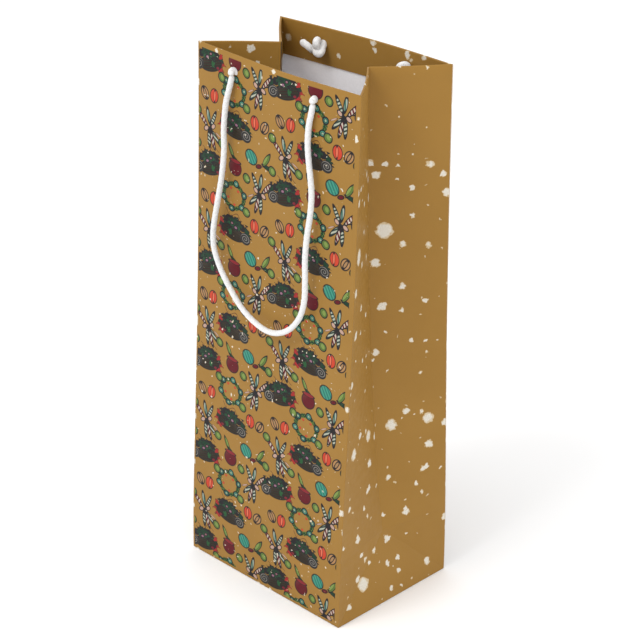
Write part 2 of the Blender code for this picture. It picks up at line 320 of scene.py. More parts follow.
for rope_name, side, loop, body in (
    ("front_handle_rope", -1, FRONT_LOOP, "front_handle"),
    ("back_handle_rope", 1, BACK_LOOP, "back_handle"),
):
    route = [Vector((x, side * (OUTSIDE + off - drawn_in(side, x, z)), z)) for x, z, off in loop]
    line, rope_length = smooth_line(route, ROPE_STEP)
    handle_rope = laid_rope(rope_name, line, ROPE_STEP)
    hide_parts("front_handle_cord" if side < 0 else "back_handle_cord")
    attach(handle_rope, body)


# ---- The sheet of the bag ----------------------------------------------------------------
# One sheet of printed, matt-laminated paper, white inside, is glued into a tube, creased at
# the corners and down the middle of both gussets, and folded over at the mouth.  The bag
# stands a little twisted, its faces leaning together towards the mouth.

BOTTOM_HALF_WIDTH = 0.0676
HALF_GUSSET = 0.0488
MOUTH_Z = 0.3497
STRIP_TOP = 0.0471
PAPER_FOOT = 0.0004       # strips, corners and triangles start this far above the floor
MID_HEIGHT = 0.2          # any height well between the bottom and the mouth
SHEET_THICKNESS = 0.0003
FACE_MAP_WIDTH = 0.133    # a face on the flat sheet
LOWER_MAP_EDGE = 0.9      # where the lower corners and triangles lie on the flat sheet
TWIST_X = 0.0055          # the mouth stands this far to the right of the bottom
PUSH_IN = 0.033           # how far the gussets tend to be pushed in, and how soon going up
PUSH_RISE = 0.130
BACK_LEFT_PUSH = 0.0084   # the back's left edge is pressed further forward at the mouth
BELLY = 0.0030
HEM_DEPTH = 0.0235
HEM_FOLD = 0.0006         # half the thickness of the folded edge with its card
HEM_ROWS = 9
HEM_SLACK = 0.00001       # allowed for rounding where the hem is told from the fold
HEM_TUCK = 0.0017         # the hem stops short of the corner creases, to lie inside the gussets
HEM_MEETS = 0.0004        # and runs this far past the middle crease of a gusset


def rise(z):
    return min(max(z / MOUTH_Z, 0.0), 1.0)


def push(z):
    return PUSH_IN * (1 - math.exp(-max(z, 0.0) / PUSH_RISE))


def corner_at(sign, side, z):
    """The crease between the face on that side (-1 front, 1 back) and a gusset."""
    y = math.sqrt(HALF_GUSSET ** 2 - push(z) ** 2)
    if side > 0 and sign < 0:
        y -= BACK_LEFT_PUSH * rise(z) ** 2
    return Vector((sign * BOTTOM_HALF_WIDTH + TWIST_X * rise(z), side * y, z))


def middle_crease_at(sign, z):
    front, back = corner_at(sign, -1, z), corner_at(sign, 1, z)
    half_chord = (back - front).length / 2
    depth = math.sqrt(max(HALF_GUSSET ** 2 - half_chord ** 2, 0.0))
    middle = (front + back) / 2
    return Vector((middle.x - sign * depth, middle.y, z))


def face_point(side, u, z):
    """A point on the front or back wall, u running from -1 at the left edge to 1."""
    left, right = corner_at(-1, side, z), corner_at(1, side, z)
    place = left.lerp(right, (u + 1) / 2)
    belly = BELLY * rise(z) ** 1.5 * (1 - u * u)
    ripple = 0.0005 * rise(z) * math.sin(3.1 * u + 21 * z) * (1 - u * u)
    return place + Vector((0.0, side * (belly + ripple), 0.0))


def gusset_point(sign, side, s, z):
    """A point on half a gusset, s running from 0 at the corner to 1 at the middle crease."""
    corner, crease = corner_at(sign, side, z), middle_crease_at(sign, z)
    place = corner.lerp(crease, s)
    away = Vector((crease.y - corner.y, corner.x - crease.x, 0.0)).normalized()
    if away.x * sign < 0:
        away = -away
    bulge = 0.0012 * rise(z) * math.sin(math.pi * s) * (1 + 0.5 * math.sin(14 * z + sign))
    return place + away * bulge


def folded_wall(name, columns, low, span, outside, point, edge_in, materials, tuck):
    """A wall up to the mouth and over the fold, and the hem that runs on down inside it.

    point(t, z) gives the outer surface, t running from 0 to 1 across; low(t) is the lower
    edge's height; outside(t, z) points out of the bag; tuck is the share of the width by which
    the hem is short at each end.  The UV map is the flat sheet in metres.
    """
    rows = 46
    fold_rows = 4
    total = rows + fold_rows + HEM_ROWS
    work = bmesh.new()
    bmesh.ops.create_grid(work, x_segments=columns, y_segments=total, size=0.5)
    flat = work.loops.layers.uv.new("sheet")
    place_of = {}
    for vert in work.verts:
        t = vert.co.x + 0.5
        row = round((vert.co.y + 0.5) * total)
        start = low(t)
        top = MOUTH_Z - HEM_FOLD
        if row <= rows:
            z = start + (top - start) * row / rows
            place = point(t, z)
            along = z
        elif row <= rows + fold_rows:
            turn = math.pi * (row - rows) / fold_rows
            share = (1 - math.cos(turn)) / 2
            t_in = t * (1 - share * sum(tuck)) + share * tuck[0]
            place = point(t_in, top) + Vector((0, 0, HEM_FOLD * math.sin(turn)))
            place -= outside(t, top) * HEM_FOLD * (1 - math.cos(turn))
            along = top + HEM_FOLD * turn
        else:
            down = HEM_DEPTH * (row - rows - fold_rows) / HEM_ROWS
            t_in = t * (1 - sum(tuck)) + tuck[0]
            place = point(t_in, top - down) - outside(t_in, top - down) * HEM_FOLD * 2
            along = top + HEM_FOLD * math.pi + down
        place_of[vert] = (edge_in + t * span, along)
        vert.co = place
    fold_end = MOUTH_Z - HEM_FOLD + HEM_FOLD * math.pi
    turned_in = {vert for vert in work.verts if place_of[vert][1] > fold_end - HEM_SLACK}
    for face in work.faces:
        face.smooth = True
        for loop in face.loops:
            loop[flat].uv = place_of[loop.vert]
    hem_work = work.copy()
    is_hem = [all(vert in turned_in for vert in face.verts) for face in work.faces]
    for part, dropped in ((work, True), (hem_work, False)):
        unwanted = [face for face, hem_face in zip(part.faces, is_hem) if hem_face == dropped]
        bmesh.ops.delete(part, geom=unwanted, context="FACES")
    outward = outside(0.5, MID_HEIGHT)
    return paper_piece(work, name + "_paper", outward, materials), paper_piece(
        hem_work, name + "_hem_paper", -outward, materials,
    )


def paper_piece(work, name, outward, materials):
    """Turns the sheet's printed side out and gives it its thickness on the inside."""
    work.faces.ensure_lookup_table()
    work.normal_update()
    if work.faces[0].normal.dot(outward) < 0:
        bmesh.ops.reverse_faces(work, faces=work.faces)
    for edge in work.edges:
        edge.smooth = not edge.is_boundary
    piece = object_from(work, name, *materials)
    wall = piece.modifiers.new("paper", "SOLIDIFY")
    wall.thickness = SHEET_THICKNESS
    wall.offset = -1.0
    wall.material_offset = 1
    wall.material_offset_rim = 0
    return piece


def flat_piece(name, corners, outward, cuts, materials):
    """A flat triangle or strip of the sheet, with the sheet's own flat coordinates."""
    work = bmesh.new()
    verts = [work.verts.new(c) for c in corners]
    work.faces.new(verts)
    bmesh.ops.subdivide_edges(work, edges=work.edges, cuts=cuts, use_grid_fill=True)
    bmesh.ops.triangulate(work, faces=[f for f in work.faces if len(f.verts) > 4])
    flat = work.loops.layers.uv.new("sheet")
    for face in work.faces:
        for loop in face.loops:
            spot = loop.vert.co
            loop[flat].uv = (spot.y + LOWER_MAP_EDGE, spot.z)
    return paper_piece(work, name, Vector(outward), materials)


# ---- Paper stock and ink -----------------------------------------------------------------
# The outside is printed a warm ochre.  The gussets, hem and bottom carry cream splashes of
# many sizes; the faces carry a small festive pattern that repeats, with a bare ochre edge.

OCHRE = (0.302, 0.161, 0.033, 1)
OCHRE_DEEP = (0.286, 0.151, 0.030, 1)
CREAM = (0.58, 0.53, 0.44, 1)
CREAM_RIM = (0.54, 0.42, 0.25, 1)
INK_DARK = (0.012, 0.010, 0.012, 1)
DEEP_GREEN = (0.006, 0.034, 0.015, 1)
LEAF_GREEN = (0.085, 0.145, 0.026, 1)
PALE_GREEN = (0.17, 0.24, 0.055, 1)
TEAL = (0.018, 0.14, 0.105, 1)
PALE_TEAL = (0.045, 0.25, 0.175, 1)
WARM_RED = (0.48, 0.045, 0.018, 1)
MAROON = (0.10, 0.004, 0.009, 1)
BEIGE = (0.36, 0.19, 0.075, 1)
BARK = (0.024, 0.009, 0.006, 1)
BOW_PINK = (0.42, 0.27, 0.21, 1)


def group_with(name, inputs, outputs):
    """A node group with the named sockets, and its input and output nodes."""
    group = bpy.data.node_groups.new(name, "ShaderNodeTree")
    kinds = {"color": "NodeSocketColor", "vector": "NodeSocketVector", "float": "NodeSocketFloat"}
    for label, kind in inputs:
        group.interface.new_socket(label, in_out="INPUT", socket_type=kinds[kind])
    for label, kind in outputs:
        group.interface.new_socket(label, in_out="OUTPUT", socket_type=kinds[kind])
    return group, group.nodes.new("NodeGroupInput"), group.nodes.new("NodeGroupOutput")


def use_group(tree, group, values):
    made = add(tree, "ShaderNodeGroup", node_tree=group)
    for label, value in values.items():
        if isinstance(value, bpy.types.NodeSocket):
            tree.links.new(value, made.inputs[label])
        else:
            made.inputs[label].default_value = value
    return made.outputs


splash_group, splash_in, splash_out = group_with(
    "splashes",
    (("Place", "vector"), ("Cells", "float"), ("Share", "float"),
     ("Size", "float"), ("Seed", "float")),
    (("Cover", "float"), ("Heart", "float")),
)
ragged = add(splash_group, "ShaderNodeTexNoise", (splash_in.outputs["Place"],))
ragged.inputs["Scale"].default_value = 420.0
ragged.inputs["Detail"].default_value = 3.0
raggedness = vectors(splash_group, "SUBTRACT", ragged.outputs["Color"], (0.5, 0.5, 0.5))
raggedness = vectors(splash_group, "MULTIPLY", raggedness, (0.0042, 0.0042, 0.0))
splash_place = vectors(splash_group, "ADD", splash_in.outputs["Place"], raggedness)
seed_shift = add(splash_group, "ShaderNodeCombineXYZ", (splash_in.outputs["Seed"],)).outputs[0]
splash_place = vectors(splash_group, "ADD", splash_place, seed_shift)
cells = add(splash_group, "ShaderNodeTexVoronoi", voronoi_dimensions="2D")
cells.inputs["Randomness"].default_value = 0.9
splash_group.links.new(splash_place, cells.inputs["Vector"])
splash_group.links.new(splash_in.outputs["Cells"], cells.inputs["Scale"])
chance = add(splash_group, "ShaderNodeSeparateColor", (cells.outputs["Color"],))
chosen = sums(splash_group, "LESS_THAN", chance.outputs[0], splash_in.outputs["Share"])
own_size = sums(splash_group, "POWER", chance.outputs[1], 1.7)
own_size = ramped(splash_group, own_size, 0.0, 1.0, 0.22, 1.0)
reach = sums(splash_group, "MULTIPLY", own_size, splash_in.outputs["Size"])
reach = sums(splash_group, "MULTIPLY", reach, chosen)
nearness = sums(splash_group, "SUBTRACT", reach, cells.outputs["Distance"])
splash_group.links.new(ramped(splash_group, nearness, 0.0, 0.02), splash_out.inputs["Cover"])
splash_group.links.new(ramped(splash_group, nearness, 0.02, 0.07), splash_out.inputs["Heart"])


def settled(tree, place, under):
    """The place, worked out only after the colour under it, so that few values wait at once."""
    return vectors(tree, "MULTIPLY_ADD", under, (1e-9, 1e-9, 1e-9), place)


def splashed(tree, place, under, layers):
    """Cream splashes in several sizes over a colour."""
    chalk = grain(tree, place, 1500.0, 3.0)
    cream = mixed(tree, ramped(tree, chalk, 0.35, 0.65), CREAM, (0.69, 0.66, 0.59, 1))
    colour = under
    for cells_across, share, size, seed in layers:
        out = use_group(tree, splash_group, {
            "Place": settled(tree, place, colour), "Cells": cells_across,
            "Share": share, "Size": size, "Seed": seed,
        })
        drop = mixed(tree, out["Heart"], CREAM_RIM, cream)
        colour = mixed(tree, out["Cover"], colour, drop)
    return colour


GUSSET_SPLASHES = ((40.0, 0.32, 0.22, 0.0), (70.0, 0.52, 0.21, 3.1), (120.0, 0.20, 0.24, 7.7))
FINE_SPLASHES = ((150.0, 0.08, 0.14, 1.3), (330.0, 0.14, 0.20, 5.9))


def sheet_place(tree):
    made = tree.nodes.new("ShaderNodeUVMap")
    made.uv_map = "sheet"
    return made.outputs[0]


def laminated(tree, shader, place):
    """The matt film over the print: a faint unevenness and a soft gloss."""
    film = grain(tree, place, 240.0, 3.0)
    fibre = grain(tree, place, 1800.0, 2.0)
    waves = sums(tree, "MULTIPLY_ADD", fibre, 0.35, film)
    tree.links.new(ramped(tree, film, 0.3, 0.7, 0.42, 0.52), shader.inputs["Roughness"])
    roughened(tree, shader, waves, 0.18, 0.0004)
    shader.inputs["Specular IOR Level"].default_value = 0.14
    shader.inputs["Coat Weight"].default_value = 0.03
    shader.inputs["Coat Roughness"].default_value = 0.35


def ochre_ground(tree, place):
    cloud = grain(tree, place, 22.0, 3.0)
    return mixed(tree, ramped(tree, cloud, 0.3, 0.7), OCHRE, OCHRE_DEEP)


splashed_finish, tree, shader = finish_named("splashed_paper", 0.47)
place = sheet_place(tree)
colour = splashed(tree, place, ochre_ground(tree, place), GUSSET_SPLASHES)
tree.links.new(colour, shader.inputs["Base Color"])
laminated(tree, shader, place)

inside_finish, tree, shader = finish_named("inside_paper", 0.75)
place = object_place(tree)
pulp = grain(tree, place, 700.0, 4.0)
shade = grain(tree, place, 30.0, 2.0)
white = mixed(tree, ramped(tree, pulp, 0.3, 0.7), (0.90, 0.89, 0.91, 1), (0.94, 0.93, 0.95, 1))
white = mixed(tree, ramped(tree, shade, 0.45, 0.75, 0.0, 0.2), white, (0.86, 0.85, 0.88, 1))
tree.links.new(white, shader.inputs["Base Color"])
roughened(tree, shader, pulp, 0.25, 0.0002)

# The festive pattern: small drawn things, each placed once or more in one repeat
REPEAT = 66.0             # millimetres


oval_group, oval_in, oval_out = group_with(
    "inked_oval",
    (("Under", "color"), ("Place", "vector"), ("Centre", "vector"), ("Size", "vector"),
     ("Turn", "float"), ("Ink", "color"), ("Line", "float"), ("Point", "float")),
    (("Color", "color"),),
)
q = settled(oval_group, oval_in.outputs["Place"], oval_in.outputs["Under"])
q = vectors(oval_group, "SUBTRACT", q, oval_in.outputs["Centre"])
turned = add(oval_group, "ShaderNodeVectorRotate", (q,), rotation_type="Z_AXIS")
oval_group.links.new(oval_in.outputs["Turn"], turned.inputs["Angle"])
q = vectors(oval_group, "DIVIDE", turned.outputs[0], oval_in.outputs["Size"])
parts = add(oval_group, "ShaderNodeSeparateXYZ", (q,))
pointed = sums(oval_group, "ABSOLUTE", parts.outputs[1])
pointed = sums(oval_group, "MULTIPLY", pointed, oval_in.outputs["Point"])
round_far = length_of(oval_group, q)
far = sums(oval_group, "ADD", round_far, pointed)
cover = ramped(oval_group, far, 1.0, 0.90)
core = sums(oval_group, "SUBTRACT", 1.0, oval_in.outputs["Line"])
core_low = sums(oval_group, "SUBTRACT", core, 0.10)
core_cover = add(oval_group, "ShaderNodeMapRange", (far, core, core_low, 0.0, 1.0)).outputs[0]
shine = sums(oval_group, "SUBTRACT", parts.outputs[1], parts.outputs[0])
shine = ramped(oval_group, shine, 0.2, 1.2, 0.0, 0.025)
lit = mixed(oval_group, shine, oval_in.outputs["Ink"], (0.60, 0.52, 0.38, 1))
drawn = mixed(oval_group, core_cover, INK_DARK, lit)
drawn = mixed(oval_group, cover, oval_in.outputs["Under"], drawn)
oval_group.links.new(drawn, oval_out.inputs["Color"])


def oval(tree, under, place, centre, size, turn, ink, line=0.18, point=0.0):
    """One outlined oval; point above 0 sharpens its two ends into a leaf."""
    return use_group(tree, oval_group, {
        "Under": under, "Place": place, "Centre": (*centre, 0.0), "Size": (*size, 1.0),
        "Turn": math.radians(-turn), "Ink": ink, "Line": line, "Point": point,
    })[0]


def striped(tree, place, angle, spacing, first, second):
    """Two colours in stripes across a direction."""
    turned_place = add(tree, "ShaderNodeVectorRotate", (place,), rotation_type="Z_AXIS")
    turned_place.inputs["Angle"].default_value = math.radians(angle)
    along = add(tree, "ShaderNodeSeparateXYZ", (turned_place.outputs[0],)).outputs[0]
    wave = sums(tree, "SINE", sums(tree, "MULTIPLY", along, 2 * math.pi / spacing))
    return mixed(tree, ramped(tree, wave, -0.25, 0.25), first, second)


def nearest_spot(tree, place, spots):
    """The place measured from the nearest of some spots of the repeat.

    A spot is x, y and a turn, and one that ends in True is drawn the other way round.
    """
    half = REPEAT / 2
    best = None
    for x, y, turn, *reversed_here in spots:
        moved = vectors(tree, "SUBTRACT", place, (x, y, 0.0))
        wrapped = vectors(tree, "WRAP", moved, (half, half, half), (-half, -half, -half))
        turned_spot = add(tree, "ShaderNodeVectorRotate", (wrapped,), rotation_type="Z_AXIS")
        turned_spot.inputs["Angle"].default_value = math.radians(-turn)
        here = turned_spot.outputs[0]
        if reversed_here:
            here = vectors(tree, "MULTIPLY", here, (-1.0, 1.0, 1.0))
        if best is None:
            best, best_far = here, length_of(tree, here)
            continue
        far_here = length_of(tree, here)
        closer = sums(tree, "LESS_THAN", far_here, best_far)
        pick = tree.nodes.new("ShaderNodeMix")
        pick.data_type = "VECTOR"
        tree.links.new(closer, pick.inputs[0])
        tree.links.new(best, pick.inputs[4])
        tree.links.new(here, pick.inputs[5])
        best = pick.outputs[1]
        best_far = sums(tree, "MINIMUM", far_here, best_far)
    return best


def draw_wreath(tree, colour, place):
    """A ring of fir with round baubles on it."""
    far_out = length_of(tree, place)
    wobble = grain(tree, place, 1.3, 2.0)
    far_out = sums(tree, "MULTIPLY_ADD", wobble, 1.6, far_out)
    band = sums(tree, "ABSOLUTE", sums(tree, "SUBTRACT", far_out, 6.9))
    sprigs = mixed(tree, ramped(tree, wobble, 0.5, 0.6), DEEP_GREEN, LEAF_GREEN)
    colour = mixed(tree, ramped(tree, band, 1.3, 0.9), colour, sprigs)
    for k in range(6):
        turn = 2 * math.pi * (k + 0.3) / 6
        centre = (6.6 * math.cos(turn), 6.6 * math.sin(turn))
        ink = PALE_TEAL if k % 2 else TEAL
        colour = oval(tree, colour, place, centre, (1.9, 2.1), 20 * k, ink, 0.34)
        colour = oval(tree, colour, place, centre, (0.8, 1.0), 20 * k, (0.25, 0.33, 0.22, 1), 0.3)
    for x, y in ((2.6, 3.0), (-3.4, -1.4), (0.4, -4.2), (-1.8, 3.6)):
        colour = oval(tree, colour, place, (x, y), (0.7, 0.7), 0, WARM_RED, 0.1)
    return colour


def draw_sweets(tree, colour, place):
    """Two round filled biscuits, one plain and one red, leaning on each other."""
    colour = oval(tree, colour, place, (-3.4, 0.6), (2.5, 3.7), 14, BEIGE, 0.2)
    colour = oval(tree, colour, place, (-3.4, 0.6), (1.0, 3.6), 14, (0.30, 0.17, 0.075, 1), 0.4)
    colour = oval(tree, colour, place, (2.2, -0.4), (2.7, 3.9), -12, WARM_RED, 0.14)
    return oval(tree, colour, place, (2.5, -0.4), (0.7, 3.7), -12, (0.62, 0.14, 0.07, 1), 0.3)


def feathered(tree, place, needles, reach):
    """The place shaken about, which gives a shape drawn on it the ragged edge of fir."""
    shaken = add(tree, "ShaderNodeTexNoise", (place,))
    shaken.inputs["Scale"].default_value = needles
    shaken.inputs["Detail"].default_value = 2.0
    offset = vectors(tree, "SUBTRACT", shaken.outputs["Color"], (0.5, 0.5, 0.5))
    return vectors(tree, "MULTIPLY_ADD", offset, (reach, reach, 0.0), place)


def draw_log(tree, colour, place):
    """A cut log with a coiled end, bark, fir sprigs and small flowers on top."""
    rough = feathered(tree, place, 0.75, 5.5)
    for x, y, wide, high, turn in (
        (-5.4, 3.0, 3.6, 2.2, 60), (2.0, 4.6, 6.6, 3.4, 4), (8.4, 0.4, 2.6, 4.4, 10),
    ):
        colour = oval(tree, colour, rough, (x, y), (wide, high), turn, DEEP_GREEN, 0.35)
    for x, y in ((9.6, 2.2), (10.0, -2.4), (8.2, -4.6)):
        colour = oval(tree, colour, rough, (x, y), (1.7, 1.3), 20, (0.30, 0.016, 0.014, 1), 0.2)
    bark = striped(tree, place, 90, 1.35, BARK, (0.018, 0.020, 0.010, 1))
    colour = oval(tree, colour, place, (2.6, -1.4), (7.4, 4.3), 0, bark, 0.12)
    colour = oval(tree, colour, rough, (2.2, 2.8), (5.2, 2.0), 8, (0.012, 0.06, 0.024, 1), 0.2)
    colour = oval(tree, colour, rough, (4.2, -1.0), (1.6, 2.6), -8, (0.014, 0.075, 0.022, 1), 0.3)
    colour = oval(tree, colour, place, (1.2, 2.2), (1.5, 1.3), 0, (0.24, 0.12, 0.17, 1), 0.45)
    colour = oval(tree, colour, place, (3.6, 3.6), (1.2, 1.1), 0, (0.22, 0.10, 0.12, 1), 0.45)
    colour = oval(tree, colour, place, (6.6, -3.6), (1.3, 1.1), 0, (0.16, 0.01, 0.02, 1), 0.3)
    end = vectors(tree, "SUBTRACT", place, (-4.8, -0.8, 0.0))
    split = add(tree, "ShaderNodeSeparateXYZ", (end,))
    bearing = sums(tree, "ARCTAN2", split.outputs[1], split.outputs[0])
    coil = sums(tree, "MULTIPLY_ADD", length_of(tree, end), 5.2, bearing)
    lines = ramped(tree, sums(tree, "SINE", coil), 0.2, 0.8)
    coiled = mixed(tree, lines, (0.018, 0.016, 0.016, 1), (0.17, 0.16, 0.14, 1))
    return oval(tree, colour, place, (-4.8, -0.8), (3.1, 3.4), 0, coiled, 0.12)


def draw_sticks(tree, colour, place):
    """Striped sugar sticks tied in a bunch with a bow."""
    red_stripe = striped(tree, place, 30, 1.9, MAROON, (0.46, 0.38, 0.31, 1))
    dark_stripe = striped(tree, place, -50, 1.7, (0.02, 0.04, 0.03, 1), (0.36, 0.38, 0.30, 1))
    teal_stripe = striped(tree, place, 10, 1.8, (0.02, 0.10, 0.075, 1), (0.30, 0.33, 0.26, 1))
    for x, y, size, turn, ink in (
        (-4.0, 5.4, 5.8, 122, red_stripe), (-1.4, -5.2, 5.4, 84, dark_stripe),
        (3.6, 5.2, 5.6, 56, dark_stripe), (0.4, 6.8, 5.2, 92, teal_stripe),
        (1.0, -5.8, 5.8, 98, red_stripe), (3.4, -4.2, 5.0, -58, dark_stripe),
    ):
        colour = oval(tree, colour, place, (x, y), (size, 1.35), turn, ink, 0.34)
    colour = oval(tree, colour, place, (-2.4, 0.4), (2.2, 1.5), 25, BOW_PINK, 0.3)
    colour = oval(tree, colour, place, (2.8, 1.4), (2.1, 1.4), 40, BOW_PINK, 0.3)
    colour = oval(tree, colour, place, (0.4, 0.2), (1.3, 1.3), 0, INK_DARK, 0.3)
    return oval(tree, colour, place, (5.6, -3.0), (2.8, 0.7), -38, BOW_PINK, 0.2, 0.4)


def draw_pot(tree, colour, place):
    """A dark red pot with a pointed plant."""
    colour = oval(tree, colour, place, (-1.8, 7.0), (5.0, 1.9), 118, LEAF_GREEN, 0.3, 0.5)
    colour = oval(tree, colour, place, (-1.6, 7.4), (3.4, 0.8), 118, PALE_GREEN, 0.1, 0.6)
    colour = oval(tree, colour, place, (0.6, 4.2), (3.0, 1.2), 150, DEEP_GREEN, 0.3, 0.6)
    colour = oval(tree, colour, place, (0.8, -0.4), (4.6, 4.6), 0, MAROON, 0.1)
    return oval(tree, colour, place, (0.8, 2.8), (4.4, 1.2), -4, (0.20, 0.015, 0.02, 1), 0.2)


def draw_toy(tree, colour, place):
    """A teal biscuit beside a green leaf on dark holly."""
    ribs = striped(tree, place, -20, 1.5, TEAL, PALE_TEAL)
    colour = oval(tree, colour, place, (6.6, -3.4), (4.4, 2.1), -24, DEEP_GREEN, 0.3, 0.6)
    colour = oval(tree, colour, place, (1.4, -3.6), (2.0, 1.3), 20, MAROON, 0.3)
    colour = oval(tree, colour, place, (6.2, 0.6), (5.2, 2.2), 58, LEAF_GREEN, 0.24, 0.45)
    colour = oval(tree, colour, place, (5.6, 0.6), (3.4, 1.0), 58, PALE_GREEN, 0.1, 0.4)
    return oval(tree, colour, place, (-2.6, 0.4), (3.5, 4.5), 22, ribs, 0.14)


def draw_drop(tree, colour, place):
    """A plump green pip."""
    colour = oval(tree, colour, place, (0.0, 0.0), (2.1, 3.0), 12, LEAF_GREEN, 0.22, 0.12)
    return oval(tree, colour, place, (0.2, 0.1), (0.9, 1.6), 12, PALE_GREEN, 0.05, 0.1)


def draw_twirl(tree, colour, place):
    """A thin curled line above a log."""
    split = add(tree, "ShaderNodeSeparateXYZ", (place,))
    curl = sums(tree, "SINE", sums(tree, "MULTIPLY", split.outputs[0], 0.62))
    off = sums(tree, "MULTIPLY_ADD", curl, -1.7, split.outputs[1])
    line = ramped(tree, sums(tree, "ABSOLUTE", off), 0.34, 0.16)
    near = ramped(tree, length_of(tree, place), 7.2, 6.6)
    return mixed(tree, sums(tree, "MULTIPLY", line, near), colour, (0.09, 0.03, 0.015, 1))


# Nine cells of 22 mm in three columns, each column a third of a cell higher than the last,
# with the pips in the gaps between the cells
PATTERN = (
    (draw_twirl, (1.1, 1.1), ((12.0, 20.5, 10), (33.0, 50.0, -12))),
    (draw_wreath, (1.42, 1.28), ((33.0, 62.3, 0),)),
    (draw_sweets, (1.5, 1.28), ((11.8, 55.0, 10), (54.5, 47.7, -14, True))),
    (draw_pot, (1.3, 1.25), ((33.0, 15.5, 0),)),
    (draw_log, (1.5, 1.2), ((7.8, 9.0, 14), (36.4, 39.3, -8, True))),
    (draw_sticks, (1.3, 1.2), ((11.0, 33.0, 12), (55.5, 3.7, -8, True))),
    (draw_toy, (1.5, 1.2), ((52.0, 25.7, 6),)),
    (draw_drop, (1.7, 1.3), ((22.0, 2.6, 0), (22.0, 26.5, 10), (44.0, 11.0, -8), (44.0, 55.0, 12),
                             (0.0, 22.0, 0), (0.0, 43.0, 8))),
)
# The print fades out over 0.3 mm at each edge of a face
PRINT_ACROSS = ((0.0010, 0.0013), (0.1297, 0.1294))
PRINT_UP = ((0.0020, 0.0023), (0.3468, 0.3465))

printed_finish, tree, shader = finish_named("festive_paper", 0.47)
place = sheet_place(tree)
ground = ochre_ground(tree, place)
pattern_place = vectors(tree, "MULTIPLY", place, (1000.0, 1000.0, 0.0))
pattern = ground
for draw, enlarged, spots in PATTERN:
    spot_place = nearest_spot(tree, settled(tree, pattern_place, pattern), spots)
    spot_place = vectors(tree, "DIVIDE", spot_place, (*enlarged, 1.0))
    pattern = draw(tree, pattern, spot_place)
pattern = splashed(tree, place, pattern, FINE_SPLASHES)
plain = splashed(tree, place, ground, GUSSET_SPLASHES)
flat_spot = add(tree, "ShaderNodeSeparateXYZ", (place,))
in_width, in_height = (
    sums(tree, "MULTIPLY", ramped(tree, value, *near), ramped(tree, value, *far))
    for value, (near, far) in zip(flat_spot.outputs, (PRINT_ACROSS, PRINT_UP))
)
printed = sums(tree, "MULTIPLY", in_width, in_height)
tree.links.new(mixed(tree, printed, plain, pattern), shader.inputs["Base Color"])
laminated(tree, shader, place)

FACE_MATERIALS = (printed_finish, inside_finish)
GUSSET_MATERIALS = (splashed_finish, inside_finish)


# ---- Front and back walls ----------------------------------------------------------------
# Each is folded over at the mouth with a stiff card in the fold.  The front bends at the
# lower crease when the bag is stored flat.  The back doesn't, so its lower strip turns with it.

HEM_LAYER = 2 * HEM_FOLD  # how deep inside the wall the hem and the card would lie when folded flat; flattens is handed it but doesn't use it
CARD_LAYER = 0.0004
UPRIGHT_Y = 0.0402        # the middle of the hinged front and back sheets
HINGE_Z = 0.0027
CARD_TOP_GAP = 0.002      # the card stops this far below the mouth
CARD_DEPTH = 0.020
CARD_SPAN = 1.9           # across, where the wall is 2
CARD_INSIDE = 0.00045     # from the outer surface of the wall


def outward_of(side):
    return lambda t, z: Vector((0.0, side, 0.0))


def flattens(piece, a, b, c, outward, deep=0.0):
    """Gives the piece a mesh of its own; the level of its hinged sheet is worked out but not used,
    so nothing flattens the piece, and deep is not used.
    """
    a, b, c = Vector(a), Vector(b), Vector(c)
    level = (b - a).cross(c - a).normalized()
    if level.dot(Vector(outward)) < 0:
        level = -level
    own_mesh(piece)


for side, wall in ((-1, "front"), (1, "back")):
    panel, hem = folded_wall(
        wall + "_wall", 40, lambda t: STRIP_TOP, -side * FACE_MAP_WIDTH, outward_of(side),
        lambda t, z, s=side: face_point(s, 2 * t - 1, z), FACE_MAP_WIDTH * (side > 0),
        FACE_MATERIALS, (HEM_TUCK / FACE_MAP_WIDTH, HEM_TUCK / FACE_MAP_WIDTH),
    )
    upright = side * UPRIGHT_Y
    hinged_sheet = ((0, upright, 0), (1, upright, 0), (0, upright, 1), (0, side, 0))
    for piece, node, deep in ((panel, wall + "_panel", 0.0), (hem, wall + "_hem", HEM_LAYER)):
        flattens(piece, *hinged_sheet, deep)
        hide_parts(node)
        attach(piece, wall + "_wall")

    card_work = bmesh.new()
    bmesh.ops.create_grid(card_work, x_segments=24, y_segments=6, size=0.5)
    for vert in card_work.verts:
        z = MOUTH_Z - CARD_TOP_GAP - CARD_DEPTH * (0.5 - vert.co.y)
        place_here = face_point(side, vert.co.x * CARD_SPAN, z)
        vert.co = place_here - Vector((0, side * CARD_INSIDE, 0))
    stiff_finish, card_tree, card_shader = finish_named(wall + "_grey_card", 0.85)
    card_pulp = grain(card_tree, object_place(card_tree), 900.0, 4.0)
    card_colour = mixed(card_tree, card_pulp, (0.40, 0.37, 0.33, 1), (0.52, 0.49, 0.44, 1))
    card_tree.links.new(card_colour, card_shader.inputs["Base Color"])
    roughened(card_tree, card_shader, card_pulp, 0.3, 0.0002)
    stiffener = paper_piece(
        card_work, wall + "_stiffening_card", Vector((0, side, 0)), (stiff_finish, stiff_finish),
    )
    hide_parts(wall + "_card")
    flattens(stiffener, *hinged_sheet, CARD_LAYER)
    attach(stiffener, wall + "_wall")

